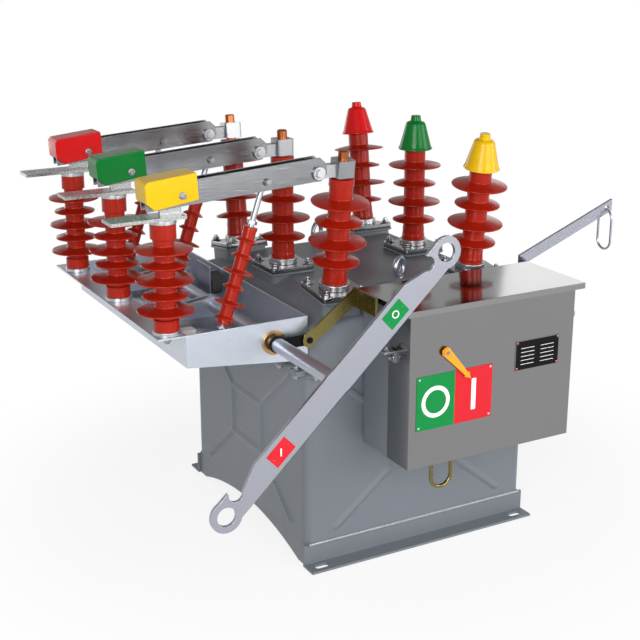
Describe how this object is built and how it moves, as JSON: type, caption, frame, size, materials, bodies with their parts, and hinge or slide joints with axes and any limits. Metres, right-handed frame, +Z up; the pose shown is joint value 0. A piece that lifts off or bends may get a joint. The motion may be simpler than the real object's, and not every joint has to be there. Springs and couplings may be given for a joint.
{
  "type": "outdoor vacuum circuit breaker with isolator",
  "caption": "Pole-mounted outdoor vacuum circuit breaker: ribbed grey tank, shedded red bushings, stainless mechanism box and a side isolator with coloured blade covers, lever and pull rods.",
  "frame": {"origin": "on the ground in the middle of the four foot slots, under the tank's centre", "axes": "+Z up, -Y towards the front with the mechanism box, -X towards the isolator"},
  "size_m": [1.14, 0.838, 0.825],
  "materials": {
    "grey_paint": "grey semi-gloss enamel",
    "dark_paint": "darker grey enamel",
    "stainless": "polished stainless sheet",
    "galvanised": "galvanised steel",
    "zinc": "zinc plated steel",
    "yellow_zinc": "yellow passivated zinc",
    "silicone": "red silicone rubber",
    "copper": "bare copper",
    "brass": "turned brass",
    "cast_aluminium": "cast aluminium",
    "yellow_plastic": "yellow moulding",
    "green_plastic": "green moulding",
    "red_plastic": "red moulding",
    "black_rubber": "black rubber and black paint",
    "orange_paint": "orange enamel"
  },
  "bodies": {
    "breaker": {"base_rail_front": "grey_paint", "base_rail_back": "grey_paint", "base_skirts": "grey_paint", "tank_body": "grey_paint", "tank_cover": "grey_paint", "left_flange_plates": "cast_aluminium", "right_flange_plates": "cast_aluminium", "lifting_eyes": "zinc", "mechanism_frame": "dark_paint", "mechanism_cover": "stainless", "mechanism_lid": "stainless", "left_bushing_front": "silicone", "left_bushing_middle": "silicone", "left_bushing_back": "silicone", "right_bushing_front": "silicone", "right_bushing_middle": "silicone", "right_bushing_back": "silicone", "phase_cap_front": "yellow_plastic", "phase_cap_middle": "green_plastic", "phase_cap_back": "red_plastic", "copper_studs": "copper", "terminal_clamps": "cast_aluminium", "isolator_tray": "galvanised", "shaft_collars": "brass", "stop_brackets": "black_rubber", "post_front": "silicone", "post_middle": "silicone", "post_back": "silicone", "post_terminals": "zinc"},
    "shaft": {"isolator_shaft": "zinc", "isolator_lever": "zinc", "interlock_crank": "black_rubber"},
    "link": {"interlock_link": "yellow_zinc"},
    "pointer": {"indicator_pointer": "orange_paint"},
    "handle": {"charging_handle": "zinc"},
    "ring": {"handle_ring": "zinc"},
    "trip": {"trip_ring": "yellow_zinc"},
    "blade_front": {"blade_front": "zinc", "blade_cover_front": "yellow_plastic"},
    "rod_front": {"pull_rod_front": "silicone"},
    "blade_middle": {"blade_middle": "zinc", "blade_cover_middle": "green_plastic"},
    "rod_middle": {"pull_rod_middle": "silicone"},
    "blade_back": {"blade_back": "zinc", "blade_cover_back": "red_plastic"},
    "rod_back": {"pull_rod_back": "silicone"}
  },
  "joints": [
    {"name": "isolator_shaft_turn", "type": "hinge", "parent": "breaker", "child": "shaft", "pos_m": [-0.331, 0, 0.482], "axis": [0, 1, 0], "range_deg": [0, 70]},
    {"name": "blade_front_turn", "type": "hinge", "parent": "breaker", "child": "blade_front", "pos_m": [-0.23, -0.24, 0.782], "axis": [0, 1, 0], "range_deg": [0, 70]},
    {"name": "rod_front_turn", "type": "hinge", "parent": "blade_front", "child": "rod_front", "pos_m": [-0.33278, -0.24, 0.77535], "axis": [0, 1, 0], "range_deg": [-70, 0]},
    {"name": "blade_middle_turn", "type": "hinge", "parent": "breaker", "child": "blade_middle", "pos_m": [-0.23, 0, 0.782], "axis": [0, 1, 0], "range_deg": [0, 70]},
    {"name": "rod_middle_turn", "type": "hinge", "parent": "blade_middle", "child": "rod_middle", "pos_m": [-0.33278, 0, 0.77535], "axis": [0, 1, 0], "range_deg": [-70, 0]},
    {"name": "blade_back_turn", "type": "hinge", "parent": "breaker", "child": "blade_back", "pos_m": [-0.23, 0.24, 0.782], "axis": [0, 1, 0], "range_deg": [0, 70]},
    {"name": "rod_back_turn", "type": "hinge", "parent": "blade_back", "child": "rod_back", "pos_m": [-0.33278, 0.24, 0.77535], "axis": [0, 1, 0], "range_deg": [-70, 0]},
    {"name": "interlock_link_turn", "type": "hinge", "parent": "shaft", "child": "link", "pos_m": [-0.268, -0.282, 0.482], "axis": [0, 1, 0], "range_deg": [-70, 0]},
    {"name": "pointer_turn", "type": "hinge", "parent": "breaker", "child": "pointer", "pos_m": [-0.06, -0.424, 0.466], "axis": [0, 1, 0], "range_deg": [0, 80]},
    {"name": "handle_turn", "type": "hinge", "parent": "breaker", "child": "handle", "pos_m": [0.255, -0.364, 0.4772], "axis": [-1, 0, 0], "range_deg": [0, 30], "stiffness_Nm_per_rad": 30, "springref_deg": -20.05},
    {"name": "ring_swing", "type": "hinge", "parent": "handle", "child": "ring", "pos_m": [0.498, -0.203, 0.60606], "axis": [1, 0, 0], "range_deg": [-40, 40]},
    {"name": "trip_pull", "type": "slide", "parent": "breaker", "child": "trip", "axis": [0, 0, -1], "range_m": [0, 0.025], "stiffness_N_per_m": 400, "springref_m": -0.005}
  ],
  "couplings": [
    {"joint": "blade_front_turn", "follows": "isolator_shaft_turn", "ratio": 1},
    {"joint": "rod_front_turn", "follows": "isolator_shaft_turn", "ratio": -1},
    {"joint": "blade_middle_turn", "follows": "isolator_shaft_turn", "ratio": 1},
    {"joint": "rod_middle_turn", "follows": "isolator_shaft_turn", "ratio": -1},
    {"joint": "blade_back_turn", "follows": "isolator_shaft_turn", "ratio": 1},
    {"joint": "rod_back_turn", "follows": "isolator_shaft_turn", "ratio": -1},
    {"joint": "interlock_link_turn", "follows": "isolator_shaft_turn", "ratio": -1}
  ]
}
